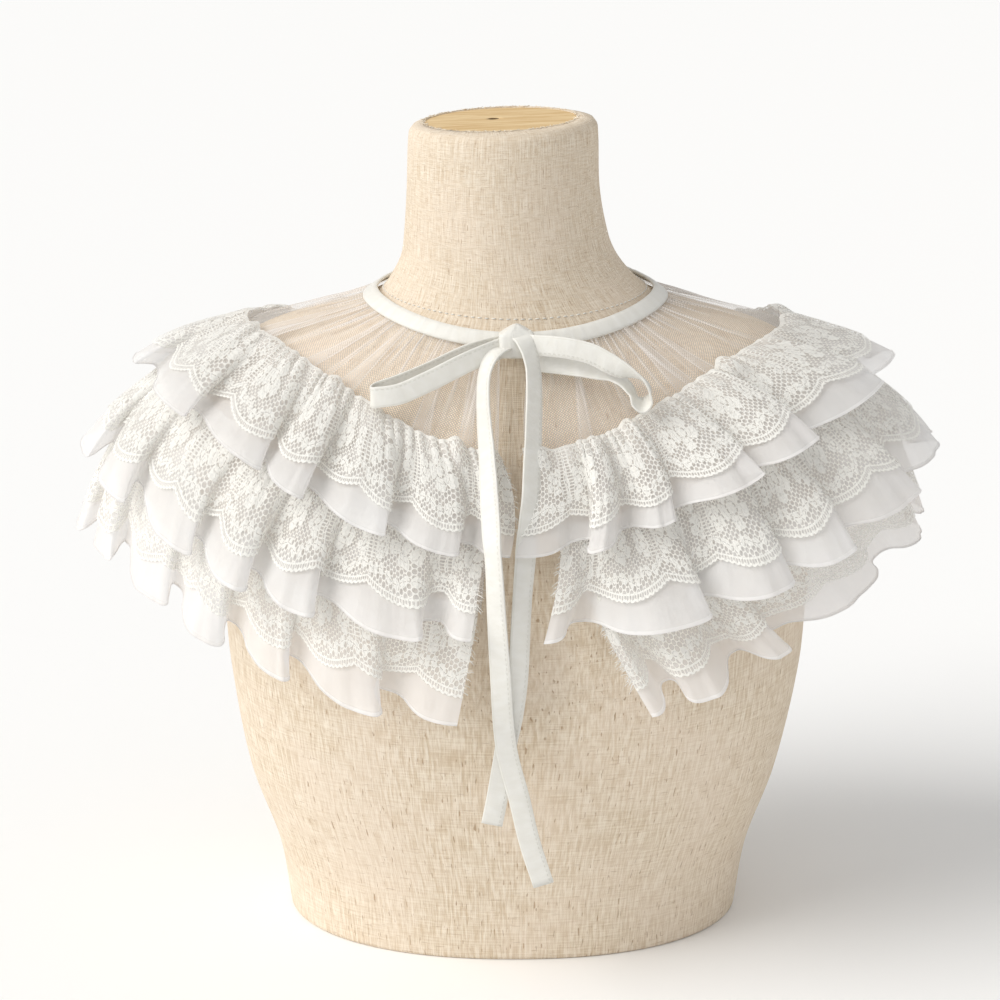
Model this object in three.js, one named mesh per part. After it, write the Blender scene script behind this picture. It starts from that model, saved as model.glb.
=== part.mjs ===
// A three-tier lace capelet collar, tied at the neck with a bow, on a limbless dress form.
// Millimetres, +Z up, the front faces -Y, and the origin is the middle of the form's flat base.
import * as THREE from "three";

// ---- Driving dimensions -------------------------------------------------------------------
const SHEER_WALL = 1.0; // net, organza and lace
const BINDING_WALL = 1.8; // bias strip folded over the neck edge
const RIBBON_WIDTH = 10.5;
const RIBBON_WALL = 1.1;
const CLOTH_GAP = 1.3; // between one cloth and the next that lies on it
const SEAM_GAP = 0.6; // between pieces that are sewn edge to edge

const FORM_SEGMENTS = 36;
const FORM_STEP = 50; // the furthest apart that the form's rings are
const TOP_TILT = { x: 0.04, y: 0.033 }; // rise of the neck's flat top along X and Y
const TILT_ENDS = 59; // distance down the neck at which its rings are level from side to side
const WAVE_STEPS = 6; // columns of facets in one ruffle wave

// Dress form: closed rings, from the top of the neck to the base. down is the distance along the
// side, x and y the ring's middle, side its half width, front and back its reach along Y, and
// zSide, zFront and zBack its heights. square is the exponent of its outline, 2 for an ellipse.
const FORM = [
  { down: 0, x: -6.4, y: -6, side: 46.0, front: -52, back: 40, zSide: 423.5, zFront: 422, zBack: 425, square: 2 },
  { down: 4, x: -6.4, y: -6, side: 48.2, front: -54, back: 42, zSide: 420, zFront: 418.5, zBack: 421.5, square: 2 },
  { down: 35, x: -6.4, y: -6, side: 49.5, front: -55, back: 43.5, zSide: 389, zFront: 386, zBack: 392, square: 2 },
  { down: 59, x: -4.8, y: -5, side: 52.7, front: -56, back: 47, zSide: 365, zFront: 360, zBack: 371, square: 2 },
  { down: 71, x: -3.2, y: -4, side: 56, front: -57.5, back: 51, zSide: 354, zFront: 348, zBack: 360, square: 2 },
  { down: 86, x: -1.5, y: -2, side: 63.5, front: -60, back: 57, zSide: 342.5, zFront: 337, zBack: 350, square: 2 },
  { down: 96, x: 0, y: 0, side: 69.5, front: -62.5, back: 62, zSide: 336, zFront: 330.5, zBack: 344, square: 2 },
  { down: 105, x: 0, y: 0, side: 77, front: -66, back: 68, zSide: 331.5, zFront: 324, zBack: 338, square: 2 },
  { down: 160, x: 0, y: 2, side: 130, front: -94, back: 99, zSide: 317, zFront: 269, zBack: 287, square: 2 },
  { down: 213, x: 0, y: 4, side: 172, front: -112, back: 116, zSide: 289, zFront: 231, zBack: 248, square: 2 },
  { down: 234, x: 0, y: 4, side: 178, front: -119, back: 119, zSide: 271, zFront: 214, zBack: 228, square: 2.1 },
  { down: 274, x: 0, y: 2, side: 167, front: -126, back: 119, zSide: 237, zFront: 190, zBack: 200, square: 2.2 },
  { down: 321, x: 0, y: 0, side: 156, front: -130, back: 115, zSide: 193, zFront: 165, zBack: 168, square: 2.3 },
  { down: 374, x: 0, y: 0, side: 151.5, front: -129, back: 109, zSide: 140, zFront: 138, zBack: 138, square: 2.3 },
  { down: 432, x: -1, y: 0, side: 141.5, front: -110, back: 98, zSide: 82, zFront: 82, zBack: 82, square: 2.25 },
  { down: 477, x: -1, y: 0, side: 127, front: -99, back: 90, zSide: 38, zFront: 38, zBack: 38, square: 2.2 },
  { down: 516, x: -1, y: 0, side: 121, front: -93, back: 86, zSide: 0, zFront: 0, zBack: 0, square: 2.2 },
];

// The smooth shape the cape hangs in: rings by their distance from the neck seam along the cloth.
const CAPE = [
  { down: -10, x: 0, y: 0, side: 71, front: -66, back: 63.6, zSide: 337.6, zFront: 326.4, zBack: 345.4, square: 2 },
  { down: 0, x: 0, y: 0, side: 79.2, front: -71, back: 70, zSide: 332.3, zFront: 318.6, zBack: 338.4, square: 2 },
  { down: 30, x: 0, y: 1, side: 109, front: -84, back: 86.5, zSide: 325.5, zFront: 295.5, zBack: 314, square: 2 },
  { down: 60, x: 0, y: 2, side: 139, front: -97, back: 102, zSide: 318, zFront: 271.5, zBack: 290, square: 2 },
  { down: 102, x: -1.5, y: 2, side: 175.5, front: -115, back: 119.5, zSide: 294, zFront: 233.5, zBack: 251, square: 2 },
  { down: 146, x: -3, y: 0, side: 200, front: -133, back: 133, zSide: 257, zFront: 193.5, zBack: 210, square: 2 },
  { down: 211, x: -6, y: -2, side: 207, front: -149, back: 144, zSide: 194, zFront: 131, zBack: 146, square: 2 },
];

// Front edges of the net yoke, as X at distances from the neck seam. Right is the viewer's right.
const YOKE_EDGE = [
  { down: 0, right: 7, left: -8 },
  { down: 60, right: 9, left: -9 },
  { down: 98, right: 20, left: -13 },
  { down: 136, right: 36, left: -17 },
];

// Tiers, from the neck down: seam is the distance of the gathered edge from the neck seam. At the hem,
// valley is the stand-off of the waves' valleys and rise the height of their crests over them, and
// open is the exponent of their growth towards it. The corner columns are how much further down seam and
// hem run at the two front corners of the chest, and the right and left columns the X of the front ends
// at seam, middle and hem.
const TIERS = [
  {
    name: "1", seam: 60, open: 1.25, waves: 20.5, valley: 9, rise: 14, seed: 0.4,
    cornerSeam: -10, cornerHem: -6,
    rightSeam: 14, rightMiddle: 15, rightHem: -1,
    leftSeam: 4, leftMiddle: 4, leftHem: 4,
  },
  {
    name: "2", seam: 98, open: 1.75, waves: 22.5, valley: 9.4, rise: 15, seed: 2.3,
    cornerSeam: -2, cornerHem: 4,
    rightSeam: 21, rightMiddle: 20, rightHem: 12,
    leftSeam: -14, leftMiddle: -17, leftHem: -21,
  },
  {
    name: "3", seam: 136, open: 1.85, waves: 24, valley: 4.5, rise: 15.5, seed: 4.1,
    cornerSeam: 0, cornerHem: -4,
    rightSeam: 36, rightMiddle: 46, rightHem: 60,
    leftSeam: -18, leftMiddle: -22, leftHem: -27,
  },
];
const ORGANZA_DEPTH = 50;
const LACE_DEPTH = 41;
const TIER_ROWS = [0, 24, LACE_DEPTH, ORGANZA_DEPTH]; // depths of the rows of points in a tier's wall
const SCALLOP_DEPTH = 5.5;
const SCALLOP_COLUMNS = 6; // columns of facets in one scallop, which is as wide as a wave
const SEAM_VALLEY = 1.8; // stand-off of a tier's gathered edge
const SEAM_RISE = 0.9; // height of the gathers there
const MEANDER = 0.36; // how far a wave's walls lean over its valleys
const CREST_WIDTH = 2.4; // exponent that makes a wave wider at its crest than in its valley
const SAG = 0.35; // how far a crest hangs down, as a share of its height

// Bow and tails: points along the middle of each ribbon, from the knot outwards. turn is the angle of
// the ribbon's width from upright (loops) or from sideways (tails) towards the viewer, in degrees.
const KNOT = { x: 0.2, y: -77.8, z: 323.8 };
const LOOP_LEFT = [
  { x: -8.5, y: -76, z: 321.5, turn: 0 },
  { x: -23, y: -79.5, z: 318, turn: 0 },
  { x: -42.5, y: -82.5, z: 309.5, turn: 0 },
  { x: -59, y: -84.5, z: 303, turn: 0 },
  { x: -68, y: -85, z: 300, turn: 0 },
  { x: -70.5, y: -86.5, z: 299, turn: 0 },
  { x: -71.5, y: -88.5, z: 298.5, turn: 0 },
  { x: -70.5, y: -91, z: 298.5, turn: 0 },
  { x: -67.5, y: -92, z: 299, turn: 0 },
  { x: -58, y: -92.5, z: 300.5, turn: 0 },
  { x: -42.5, y: -91, z: 307, turn: 0 },
  { x: -23, y: -87, z: 316, turn: 0 },
  { x: -8.8, y: -80, z: 321, turn: 0 },
];
const LOOP_RIGHT = [
  { x: 8.7, y: -79.5, z: 313.5, turn: 0 },
  { x: 22.5, y: -81, z: 312, turn: 0 },
  { x: 32.5, y: -83.5, z: 311, turn: -12 },
  { x: 40.5, y: -85, z: 310, turn: -42 },
  { x: 47, y: -86, z: 309, turn: -75 },
  { x: 52.5, y: -88, z: 306, turn: -90 },
  { x: 56.5, y: -89, z: 301.5, turn: -90 },
  { x: 59, y: -90, z: 296.5, turn: -90 },
  { x: 62.5, y: -90.5, z: 294.5, turn: -90 },
  { x: 66, y: -91, z: 298, turn: -90 },
  { x: 65.5, y: -91.5, z: 303, turn: -90 },
  { x: 62.5, y: -92, z: 307.5, turn: -92 },
  { x: 57, y: -93, z: 310.5, turn: -112 },
  { x: 51.5, y: -93.5, z: 313, turn: -152 },
  { x: 45, y: -93, z: 316.5, turn: -178 },
  { x: 36.5, y: -91, z: 320.5, turn: -180 },
  { x: 23, y: -88, z: 323, turn: -180 },
  { x: 7, y: -82, z: 323, turn: -180 },
];
const TAIL_LEFT = [
  { x: -4.8, y: -80, z: 314.5, turn: 20 },
  { x: -8.5, y: -83.5, z: 313, turn: 38 },
  { x: -13, y: -87.5, z: 310, turn: 50 },
  { x: -16, y: -92.5, z: 306, turn: 50 },
  { x: -16, y: -98, z: 301.5, turn: 48 },
  { x: -14, y: -106.5, z: 278.5, turn: 45 },
  { x: -13.5, y: -113.5, z: 267.5, turn: 38 },
  { x: -13, y: -124, z: 257.5, turn: 25 },
  { x: -12, y: -135, z: 248, turn: 10 },
  { x: -11.5, y: -144, z: 238.5, turn: 0 },
  { x: -10.5, y: -146.5, z: 226.5, turn: 0 },
  { x: -9.5, y: -147, z: 201.5, turn: 0 },
  { x: -8, y: -147.5, z: 177.5, turn: 0 },
  { x: -5, y: -148, z: 137, turn: 0 },
  { x: 1.5, y: -148.5, z: 110, turn: 0 },
  { x: 6.5, y: -149, z: 88, turn: 0 },
  { x: 13.5, y: -149.5, z: 65.5, turn: 0 },
];
const TAIL_RIGHT = [
  { x: 2.7, y: -82, z: 315, turn: -32 },
  { x: 6.5, y: -86, z: 311.5, turn: -50 },
  { x: 8.5, y: -90, z: 307.5, turn: -50 },
  { x: 9, y: -94.5, z: 301.5, turn: -50 },
  { x: 8.5, y: -98.5, z: 289, turn: -48 },
  { x: 8, y: -104, z: 275.5, turn: -44 },
  { x: 7.5, y: -109.5, z: 266.5, turn: -35 },
  { x: 7, y: -115.5, z: 257, turn: -18 },
  { x: 6, y: -120, z: 249, turn: -3 },
  { x: 5.5, y: -125, z: 243.5, turn: 0 },
  { x: 5, y: -129, z: 237.5, turn: 0 },
  { x: 4.5, y: -132.5, z: 232.5, turn: 0 },
  { x: 4, y: -136.5, z: 226, turn: 0 },
  { x: 3, y: -141.5, z: 215, turn: 0 },
  { x: 2, y: -145, z: 198.5, turn: 0 },
  { x: 0.5, y: -146, z: 170.5, turn: 0 },
  { x: -2, y: -146.5, z: 152, turn: 0 },
  { x: -4.5, y: -146.5, z: 140, turn: 0 },
  { x: -7.5, y: -146.5, z: 121.5, turn: 0 },
  { x: -9.5, y: -147, z: 109.5, turn: 0 },
  { x: -12, y: -147.5, z: 96.5, turn: 0 },
];

// The neck cap: a disc let into the top of the neck.
const CAP = { x: -6.4, y: -6, halfWidth: 42.6, halfDepth: 41.5, thick: 4, proud: 0.7, gap: 0.4 };
const CAP_HOLE = { x: -4.6, y: 3, radius: 2.2 };

// ---- Materials ----------------------------------------------------------------------------
const material = (color, roughness) => new THREE.MeshStandardMaterial({ color, roughness, metalness: 0 });
const LINEN = material(0xdccbb0, 0.9);
const WOOD = material(0xd9b57c, 0.6);
const NET = material(0xe9e2d6, 0.8);
const ORGANZA = material(0xf1efea, 0.5);
const LACE = material(0xf6f3ea, 0.8);
const SATIN = material(0xf4f1e6, 0.45);

// ---- Curves through the tables ------------------------------------------------------------
// One column's value between the rows, on a smooth curve through them.
function between(rows, at, column) {
  let i = 0;
  while (i < rows.length - 2 && at > rows[i + 1].down) i++;
  const slope = (j) => {
    const a = rows[Math.max(j - 1, 0)];
    const b = rows[Math.min(j + 1, rows.length - 1)];
    return (b[column] - a[column]) / (b.down - a.down);
  };
  const step = rows[i + 1].down - rows[i].down;
  const t = (at - rows[i].down) / step;
  const u = 1 - t;
  const pull = t * u * step * (slope(i) * u - slope(i + 1) * t);
  return rows[i][column] * u * u * (1 + 2 * t) + rows[i + 1][column] * t * t * (1 + 2 * u) + pull;
}

// A point of a lofted shape. angle runs from the front (-Y) towards +X, in radians.
function ringPoint(rows, at, angle) {
  const value = (column) => between(rows, at, column);
  const power = 2 / value("square");
  const sin = Math.sin(angle);
  const cos = Math.cos(angle);
  const ahead = cos > 0;
  const y = value("y");
  const reach = value(ahead ? "front" : "back") - y;
  const across = value("side") * Math.sign(sin) * Math.abs(sin) ** power;
  const rise = value(ahead ? "zFront" : "zBack") - value("zSide");
  return new THREE.Vector3(
    value("x") + across,
    y + reach * Math.abs(cos) ** power,
    value("zSide") + rise * cos * cos,
  );
}

// A point that stands off a surface: surface(a, b) is a point, and its outward normal is taken
// from neighbouring points.
function standOff(surface, a, b, stepA, stepB, distance) {
  const along = surface(a + stepA, b).sub(surface(a - stepA, b));
  const down = surface(a, b + stepB).sub(surface(a, b - stepB));
  return surface(a, b).addScaledVector(along.cross(down).normalize().negate(), distance);
}

// ---- Solids -------------------------------------------------------------------------------
// A closed wall on a grid of points: at(i, j, side) with side +1 outside and -1 inside.
function wall(columns, rows, at) {
  const position = [];
  const index = [];
  const id = (i, j, side) => ((side > 0 ? 0 : 1) * (columns + 1) + i) * (rows + 1) + j;
  for (const side of [1, -1])
    for (let i = 0; i <= columns; i++) for (let j = 0; j <= rows; j++) position.push(...at(i, j, side).toArray());
  const quad = (a, b, c, d) => index.push(a, b, c, a, c, d);
  for (let i = 0; i < columns; i++)
    for (let j = 0; j < rows; j++) {
      quad(id(i, j, 1), id(i, j + 1, 1), id(i + 1, j + 1, 1), id(i + 1, j, 1));
      quad(id(i, j, -1), id(i + 1, j, -1), id(i + 1, j + 1, -1), id(i, j + 1, -1));
    }
  for (let i = 0; i < columns; i++) {
    quad(id(i, 0, 1), id(i + 1, 0, 1), id(i + 1, 0, -1), id(i, 0, -1));
    quad(id(i, rows, 1), id(i, rows, -1), id(i + 1, rows, -1), id(i + 1, rows, 1));
  }
  for (let j = 0; j < rows; j++) {
    quad(id(0, j, 1), id(0, j, -1), id(0, j + 1, -1), id(0, j + 1, 1));
    quad(id(columns, j, 1), id(columns, j + 1, 1), id(columns, j + 1, -1), id(columns, j, -1));
  }
  return geometryOf(position, index);
}

// A closed solid through rings, from the top ring to the bottom one, with a flat end on each.
function lofted(rings) {
  const count = rings[0].length;
  const position = rings.flat().flatMap((p) => p.toArray());
  const index = [];
  for (let r = 0; r < rings.length - 1; r++)
    for (let i = 0; i < count; i++) {
      const next = (i + 1) % count;
      const [a, b, c, d] = [r * count + i, (r + 1) * count + i, (r + 1) * count + next, r * count + next];
      // Each half turn has its diagonals the other way round, so that a flat ribbon's faces stay parallel.
      if (i < count / 2) index.push(a, b, c, a, c, d);
      else index.push(a, b, d, b, c, d);
    }
  const middle = (ring) => ring.reduce((sum, p) => sum.add(p), new THREE.Vector3()).divideScalar(count);
  const last = (rings.length - 1) * count;
  const top = position.length / 3;
  position.push(...middle(rings[0]).toArray(), ...middle(rings[rings.length - 1]).toArray());
  for (let i = 0; i < count; i++) {
    const next = (i + 1) % count;
    index.push(top, i, next, top + 1, last + next, last + i);
  }
  return geometryOf(position, index);
}

function geometryOf(position, index) {
  const geometry = new THREE.BufferGeometry();
  geometry.setAttribute("position", new THREE.Float32BufferAttribute(position, 3));
  geometry.setIndex(index);
  geometry.computeVertexNormals();
  return geometry;
}

// A flat ribbon along a curve, with a number of steps from each point to the next. flat(angle) is the
// direction of its width for a turn in radians.
function ribbon(points, steps, flat) {
  const path = new THREE.CatmullRomCurve3(points.map((p) => new THREE.Vector3(p.x, p.y, p.z)), false, "centripetal");
  const total = (points.length - 1) * steps;
  const rings = [];
  for (let i = 0; i <= total; i++) {
    const at = path.getPoint(i / total);
    const along = path.getTangent(i / total);
    const from = points[Math.floor(i / steps)];
    const to = points[Math.ceil(i / steps)];
    const turn = from.turn + ((to.turn - from.turn) * (i % steps)) / steps;
    const width = flat(THREE.MathUtils.degToRad(turn));
    width.addScaledVector(along, -width.dot(along)).normalize();
    const face = new THREE.Vector3().crossVectors(along, width);
    const corner = (w, f) =>
      at.clone().addScaledVector(width, (w * RIBBON_WIDTH) / 2).addScaledVector(face, (f * RIBBON_WALL) / 2);
    rings.push([corner(1, 1), corner(1, -1), corner(-1, -1), corner(-1, 1)]);
  }
  return lofted(rings);
}

// ---- Dress form ---------------------------------------------------------------------------
// A ring in the plane of the neck's top, for the recess that the cap lies in.
function capRing(across, deep, drop) {
  return Array.from({ length: FORM_SEGMENTS }, (_, i) => {
    const angle = (2 * Math.PI * i) / FORM_SEGMENTS;
    const x = across * Math.sin(angle);
    const y = -deep * Math.cos(angle);
    return new THREE.Vector3(CAP.x + x, CAP.y + y, FORM[0].zSide + TOP_TILT.x * x + TOP_TILT.y * y - drop);
  });
}

function formTorso() {
  const stops = FORM.map((row) => row.down);
  for (let i = 0; i < FORM.length - 1; i++)
    if (FORM[i + 1].down - FORM[i].down > FORM_STEP) stops.push((FORM[i].down + FORM[i + 1].down) / 2);
  stops.sort((a, b) => a - b);
  const rings = stops.map((down) => {
    const tilt = TOP_TILT.x * Math.max(0, 1 - down / TILT_ENDS);
    return Array.from({ length: FORM_SEGMENTS }, (_, i) => {
      const point = ringPoint(FORM, down, (2 * Math.PI * i) / FORM_SEGMENTS);
      point.z += tilt * (point.x - CAP.x);
      return point;
    });
  });
  const across = CAP.halfWidth + CAP.gap;
  const deep = CAP.halfDepth + CAP.gap;
  const floor = CAP.thick - CAP.proud + CAP.gap;
  return lofted([capRing(across, deep, floor), capRing(across, deep, 0), ...rings]);
}

function formCap() {
  const outline = new THREE.Shape().absellipse(0, 0, CAP.halfWidth, CAP.halfDepth, 0, 2 * Math.PI);
  outline.holes.push(new THREE.Path().absarc(CAP_HOLE.x, CAP_HOLE.y, CAP_HOLE.radius, 0, 2 * Math.PI, true));
  return new THREE.ExtrudeGeometry(outline, { depth: CAP.thick, bevelEnabled: false, curveSegments: FORM_SEGMENTS / 2 });
}

// ---- Cape ---------------------------------------------------------------------------------
const capePoint = (angle, down) => ringPoint(CAPE, down, angle);
// The angle at which the cape's ring reaches an X near the front.
const angleAt = (x, down) => Math.asin((x - between(CAPE, down, "x")) / between(CAPE, down, "side"));
const lerp = (a, b, t) => a + (b - a) * t;
// The value at t of the parabola through a, b and c at 0, half way and 1.
const bowed = (a, b, c, t) => a * (1 - t) * (1 - 2 * t) + 4 * b * t * (1 - t) + c * t * (2 * t - 1);

// Shares of the turn from one front edge to the other, evenly spaced along the cloth's length.
function evenTurn(down) {
  const parts = 720;
  const lengths = [0];
  const first = angleAt(0, down);
  for (let i = 1; i <= parts; i++) {
    const a = capePoint(first + (2 * Math.PI * (i - 1)) / parts, down);
    lengths.push(lengths[i - 1] + a.distanceTo(capePoint(first + (2 * Math.PI * i) / parts, down)));
  }
  return (share) => {
    const goal = Math.min(Math.max(share, 0), 1) * lengths[parts];
    let i = lengths.findIndex((length) => length >= goal);
    if (i < 1) i = 1;
    return (i - 1 + (goal - lengths[i - 1]) / (lengths[i] - lengths[i - 1])) / parts;
  };
}
const turn = evenTurn(146);

// The net yoke: gathered into the neck binding, smooth at its lower edge.
function yokePoint(share, down) {
  const right = angleAt(between(YOKE_EDGE, down, "right"), down);
  const left = 2 * Math.PI + angleAt(between(YOKE_EDGE, down, "left"), down);
  return capePoint(lerp(right, left, turn(share)), down);
}

function netYoke() {
  const gathers = 25;
  const columns = 3 * gathers;
  const downs = [SEAM_GAP, 22, 60, 98, 136];
  return wall(columns, downs.length - 1, (i, j, side) => {
    const fade = Math.max(0, 1 - downs[j] / 52);
    const height = 0.3 + 0.9 * fade * (1 + Math.sin((2 * Math.PI * i) / 3 + 0.3 * Math.sin(i)));
    return standOff(yokePoint, i / columns, downs[j], 0.002, 0.2, height + (side * SHEER_WALL) / 2);
  });
}

function neckBinding() {
  const columns = 56;
  const reach = [-9.5, 0];
  const ring = (share, down) =>
    capePoint(lerp(angleAt(2.5, down), 2 * Math.PI + angleAt(-2, down), turn(share)), down);
  return wall(columns, reach.length - 1, (i, j, side) =>
    standOff(ring, i / columns, reach[j], 0.002, 0.2, 0.7 + (side * BINDING_WALL) / 2),
  );
}

// ---- Ruffled tiers ------------------------------------------------------------------------
// Uneven spacing and height of the waves, the same each time.
const uneven = (share, seed) =>
  0.0045 * Math.sin(2 * Math.PI * 5 * share + seed) + 0.0022 * Math.sin(2 * Math.PI * 13 * share + 2 * seed);
// How near an angle is to the middle of a front corner: 0 at the front, the sides and the back.
const cornerShare = (angle) => (Math.cos(angle) > 0 ? Math.sin(2 * angle) ** 2 : 0);
const height = (share, seed) =>
  1 + 0.16 * Math.sin(2 * Math.PI * 4 * share + 3 * seed) + 0.1 * Math.sin(2 * Math.PI * 9 * share + seed);

// Middle surface of a tier's organza, at a share of the way round and a distance below its seam.
function tierPoint(tier, share, depth) {
  const t = depth / ORGANZA_DEPTH;
  const opened = t <= 0 ? 0 : t ** tier.open;
  const ends = Math.min(1, 14 * share, 14 * (1 - share));
  const phase = 2 * Math.PI * tier.waves * (share + ends * uneven(share, tier.seed));
  const valley = lerp(SEAM_VALLEY, tier.valley, opened);
  const rise = lerp(SEAM_RISE, tier.rise * lerp(1, height(share, tier.seed), ends), opened);
  // A wave is wide at its crest and narrow in its valley, and its walls lean over the valley.
  const crest = 1 - Math.abs(Math.sin(phase / 2)) ** CREST_WIDTH;
  const lean = (MEANDER * opened * Math.sin(2 * phase)) / (2 * Math.PI * tier.waves);
  const placed = turn(share + lean);
  const corner = lerp(tier.cornerSeam, tier.cornerHem, t) * cornerShare(2 * Math.PI * placed);
  const down = tier.seam + depth + corner;
  const right = angleAt(bowed(tier.rightSeam, tier.rightMiddle, tier.rightHem, t), down);
  const left = 2 * Math.PI + angleAt(bowed(tier.leftSeam, tier.leftMiddle, tier.leftHem, t), down);
  const point = standOff(capePoint, lerp(right, left, placed), down, 0.004, 0.2, valley + rise * crest);
  point.z -= SAG * rise * crest * opened;
  return point;
}

const tierColumns = (tier) => Math.round(tier.waves * WAVE_STEPS);

// A wall at a distance outside a tier's surface. Between two rows of points it stays on the flat facets
// that join them, so that one wall of a tier lies on the other.
function tierWall(tier, distance, depths) {
  const columns = tierColumns(tier);
  const surface = (share, depth) => tierPoint(tier, share, depth);
  return wall(columns, depths(0).length - 1, (i, j, side) => {
    const share = Math.min(Math.max(i / columns, 0.0004), 0.9996);
    const at = (depth) => standOff(surface, share, depth, 0.0003, 0.2, distance + (side * SHEER_WALL) / 2);
    const depth = depths(i)[j];
    const row = Math.min(TIER_ROWS.findLastIndex((d) => d <= depth), TIER_ROWS.length - 2);
    const part = (depth - TIER_ROWS[row]) / (TIER_ROWS[row + 1] - TIER_ROWS[row]);
    return at(TIER_ROWS[row]).lerp(at(TIER_ROWS[row + 1]), part);
  });
}

function organzaTier(tier) {
  return tierWall(tier, 0, () => TIER_ROWS);
}

function laceTier(tier) {
  const scallop = (i) => Math.abs(Math.cos((Math.PI * i) / SCALLOP_COLUMNS));
  const edge = (i) => LACE_DEPTH - SCALLOP_DEPTH * (1 - scallop(i));
  return tierWall(tier, SHEER_WALL + CLOTH_GAP, (i) => [TIER_ROWS[0], TIER_ROWS[1], edge(i)]);
}

// ---- Bow ----------------------------------------------------------------------------------
function bowKnot() {
  const levels = [
    { z: 8.6, across: 3, deep: 2 },
    { z: 6, across: 6.6, deep: 3.8 },
    { z: 1.5, across: 8.2, deep: 5.6 },
    { z: -4, across: 8.2, deep: 5.6 },
    { z: -7.6, across: 6.6, deep: 3.4 },
  ];
  const sides = 12;
  const rings = levels.map(({ z, across, deep }) =>
    Array.from({ length: sides }, (_, i) => {
      const angle = (2 * Math.PI * i) / sides;
      return new THREE.Vector3(across * Math.sin(angle), -deep * Math.cos(angle), z);
    }),
  );
  return lofted(rings);
}

// ---- Assembly -----------------------------------------------------------------------------
const group = new THREE.Group();

function add(name, geometry, finish) {
  const mesh = new THREE.Mesh(geometry, finish);
  mesh.name = name;
  group.add(mesh);
  return mesh;
}

add("form_torso", formTorso(), LINEN);
const cap = add("form_neck_cap", formCap(), WOOD);
cap.position.set(CAP.x, CAP.y, FORM[0].zSide + CAP.proud - CAP.thick);
cap.rotation.set(Math.atan(TOP_TILT.y), -Math.atan(TOP_TILT.x), 0);

add("net_yoke", netYoke(), NET);
add("neck_binding", neckBinding(), SATIN);
for (const tier of TIERS) {
  add("organza_tier_" + tier.name, organzaTier(tier), ORGANZA);
  add("lace_tier_" + tier.name, laceTier(tier), LACE);
}

const knot = add("bow_knot", bowKnot(), SATIN);
knot.position.set(KNOT.x, KNOT.y, KNOT.z);
const upright = (turn) => new THREE.Vector3(0, -Math.sin(turn), Math.cos(turn));
const sideways = (turn) => new THREE.Vector3(Math.cos(turn), -Math.sin(turn), 0);
add("bow_loop_left", ribbon(LOOP_LEFT, 2, upright), SATIN);
add("bow_loop_right", ribbon(LOOP_RIGHT, 2, upright), SATIN);
add("tie_tail_left", ribbon(TAIL_LEFT, 2, sideways), SATIN);
add("tie_tail_right", ribbon(TAIL_RIGHT, 1, sideways), SATIN);

export default group;
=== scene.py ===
"""A three-tier lace capelet collar, tied with a ribbon bow, on a linen dress form with a wooden neck cap."""

import math
from functools import partialmethod

import bpy
import numpy as np
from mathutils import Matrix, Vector


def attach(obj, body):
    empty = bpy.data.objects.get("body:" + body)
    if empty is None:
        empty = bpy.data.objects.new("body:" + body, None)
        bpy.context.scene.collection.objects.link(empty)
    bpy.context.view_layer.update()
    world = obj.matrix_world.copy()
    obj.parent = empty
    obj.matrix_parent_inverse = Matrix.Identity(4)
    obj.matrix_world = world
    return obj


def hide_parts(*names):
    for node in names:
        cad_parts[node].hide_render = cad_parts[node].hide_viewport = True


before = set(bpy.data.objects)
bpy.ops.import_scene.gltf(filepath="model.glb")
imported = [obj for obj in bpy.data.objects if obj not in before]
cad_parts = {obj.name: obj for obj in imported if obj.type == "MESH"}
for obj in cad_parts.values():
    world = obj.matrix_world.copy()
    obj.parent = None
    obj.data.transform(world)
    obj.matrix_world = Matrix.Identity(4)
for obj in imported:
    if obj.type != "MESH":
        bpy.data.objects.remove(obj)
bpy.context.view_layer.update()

MM = 0.001
TAU = 2 * math.pi
BODY = "root"


# ---- Camera, lights and floor ----
CAMERA_TARGET = Vector((-0.008, 0.0, 0.222))
CAMERA_DISTANCE = 1.5
CAMERA_PITCH = math.radians(15)
CAMERA_LENS, CAMERA_SENSOR = 101.88, 36  # mm
SKY_STRENGTH = 0.58
SUN_ENERGY = 2.35
SUN_SPREAD = math.radians(48)
SUN_COLOR = (1, 0.985, 0.96)
SUN_DIRECTION = Vector((1.35, 0.5, -1.1))
FLOOR_HALF = 14
FLOOR_COLOR = (0.955, 0.955, 0.95, 1)


def add_camera():
    data = bpy.data.cameras.new("camera")
    data.lens = CAMERA_LENS
    data.sensor_width = CAMERA_SENSOR
    camera = bpy.data.objects.new("camera", data)
    back = Vector((0, -math.cos(CAMERA_PITCH), math.sin(CAMERA_PITCH)))
    camera.location = CAMERA_TARGET + CAMERA_DISTANCE * back
    camera.rotation_euler = (-back).to_track_quat("-Z", "Y").to_euler()
    bpy.context.scene.collection.objects.link(camera)
    bpy.context.scene.camera = camera


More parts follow.
